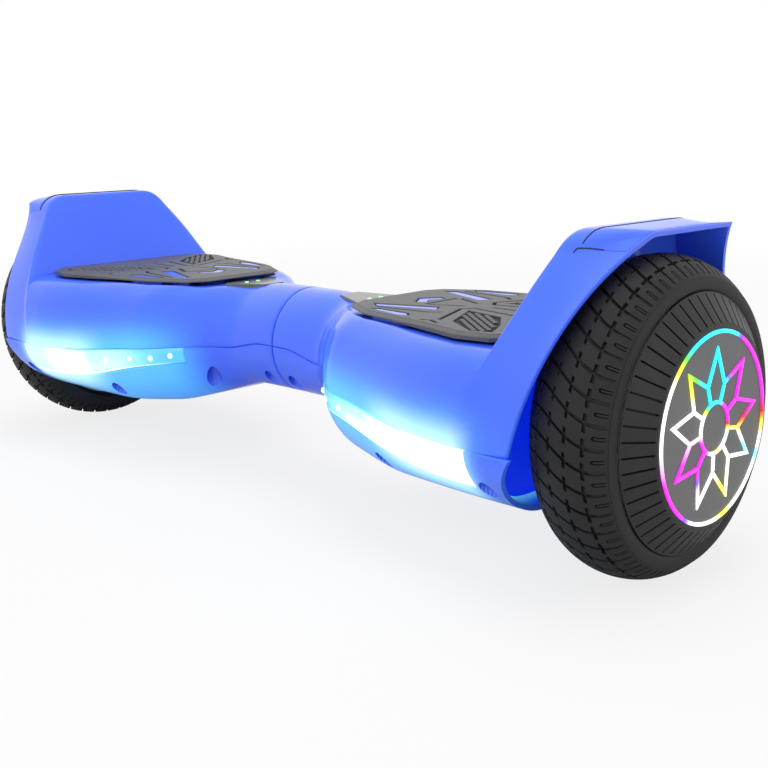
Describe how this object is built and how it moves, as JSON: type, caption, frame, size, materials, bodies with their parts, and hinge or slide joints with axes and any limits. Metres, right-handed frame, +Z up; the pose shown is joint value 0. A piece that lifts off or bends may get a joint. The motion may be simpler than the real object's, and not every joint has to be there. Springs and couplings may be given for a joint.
{
  "type": "self-balancing hoverboard",
  "caption": "Two-wheeled self-balancing board: mirrored blue halves on a twisting neck, sprung foot pads, fenders, headlights and hub-motor wheels with lit discs",
  "frame": {"origin": "on the ground midway between the tyres, below the neck seam", "axes": "+X along the axle to the half with the power button, -Y to the front with the headlights, +Z up"},
  "size_m": [0.5964, 0.19, 0.1835],
  "materials": {
    "shell_blue": "high gloss moulded plastic",
    "chassis_alloy": "cast",
    "liner_plastic": "satin",
    "steel": "turned",
    "clamp_alloy": "milled",
    "winding_copper": "enamelled wire",
    "lens_clear": "clear",
    "lamp_white": "lit white",
    "panel_grey": "satin",
    "board_green": "solder mask",
    "screw_dark": "blackened",
    "pad_rubber": "matt textured",
    "tyre_rubber": "matt",
    "motor_alloy": "machined",
    "magnet_dark": "plated",
    "cover_plastic": "ribbed satin",
    "disc_plastic": "smoked",
    "hub_glow": "lit lines in several colours",
    "bush_brass": "plain bearing",
    "harness_black": "sleeved",
    "battery_case": "wrapped",
    "socket_plastic": "satin",
    "flap_rubber": "matt",
    "button_silver": "satin silver"
  },
  "bodies": {
    "left_half": {"left_top_shell": "shell_blue", "left_bottom_shell": "shell_blue", "left_fender_cap": "shell_blue", "left_chassis": "chassis_alloy", "left_arch_liner": "liner_plastic", "left_axle": "steel", "left_axle_clamp": "clamp_alloy", "left_stator": "winding_copper", "left_headlight_lens": "lens_clear", "left_lamp_strip": "lamp_white", "left_indicator_panel": "panel_grey", "left_gyro_board": "board_green", "left_switch_board": "board_green", "left_shell_screws": "screw_dark", "pivot_tube": "steel", "pivot_clip": "screw_dark", "wiring_harness": "harness_black", "battery_pack": "battery_case"},
    "right_half": {"right_top_shell": "shell_blue", "right_bottom_shell": "shell_blue", "right_fender_cap": "shell_blue", "right_chassis": "chassis_alloy", "right_arch_liner": "liner_plastic", "right_axle": "steel", "right_axle_clamp": "clamp_alloy", "right_stator": "winding_copper", "right_headlight_lens": "lens_clear", "right_lamp_strip": "lamp_white", "right_indicator_panel": "panel_grey", "right_gyro_board": "board_green", "right_switch_board": "board_green", "right_shell_screws": "screw_dark", "pivot_bushes": "bush_brass", "main_board": "board_green", "rear_collars": "shell_blue", "charge_socket": "socket_plastic"},
    "left_wheel": {"left_tyre": "tyre_rubber", "left_rim": "motor_alloy", "left_magnets": "magnet_dark", "left_inner_cover": "motor_alloy", "left_outer_cover": "motor_alloy", "left_bearings": "steel", "left_hub_cover": "cover_plastic", "left_hub_disc": "disc_plastic", "left_hub_light": "hub_glow"},
    "left_pad": {"left_foot_pad": "pad_rubber", "left_pad_plungers": "pad_rubber"},
    "right_wheel": {"right_tyre": "tyre_rubber", "right_rim": "motor_alloy", "right_magnets": "magnet_dark", "right_inner_cover": "motor_alloy", "right_outer_cover": "motor_alloy", "right_bearings": "steel", "right_hub_cover": "cover_plastic", "right_hub_disc": "disc_plastic", "right_hub_light": "hub_glow"},
    "right_pad": {"right_foot_pad": "pad_rubber", "right_pad_plungers": "pad_rubber"},
    "charge_flap_body": {"charge_flap": "flap_rubber"},
    "power_button_body": {"power_button": "button_silver"}
  },
  "joints": [
    {"name": "neck_twist", "type": "hinge", "parent": "left_half", "child": "right_half", "pos_m": [0, 0, 0.0925], "axis": [1, 0, 0], "range_deg": [-12, 12], "stiffness_Nm_per_rad": 0.5},
    {"name": "left_wheel_spin", "type": "hinge", "parent": "left_half", "child": "left_wheel", "pos_m": [-0.263, 0, 0.084], "axis": [1, 0, 0], "continuous": true},
    {"name": "right_wheel_spin", "type": "hinge", "parent": "right_half", "child": "right_wheel", "pos_m": [0.263, 0, 0.084], "axis": [1, 0, 0], "continuous": true},
    {"name": "left_pad_press", "type": "slide", "parent": "left_half", "child": "left_pad", "axis": [0, 0, -1], "range_m": [0, 0.001], "stiffness_N_per_m": 8000, "springref_m": -0.002},
    {"name": "right_pad_press", "type": "slide", "parent": "right_half", "child": "right_pad", "axis": [0, 0, -1], "range_m": [0, 0.001], "stiffness_N_per_m": 8000, "springref_m": -0.002},
    {"name": "power_button_press", "type": "slide", "parent": "right_half", "child": "power_button_body", "axis": [0, -1, 0], "range_m": [0, 0.002], "stiffness_N_per_m": 600, "springref_m": -0.001},
    {"name": "charge_flap_swing", "type": "hinge", "parent": "right_half", "child": "charge_flap_body", "pos_m": [0.138, 0.0911, 0.1144], "axis": [1, 0, 0], "range_deg": [0, 100]}
  ]
}
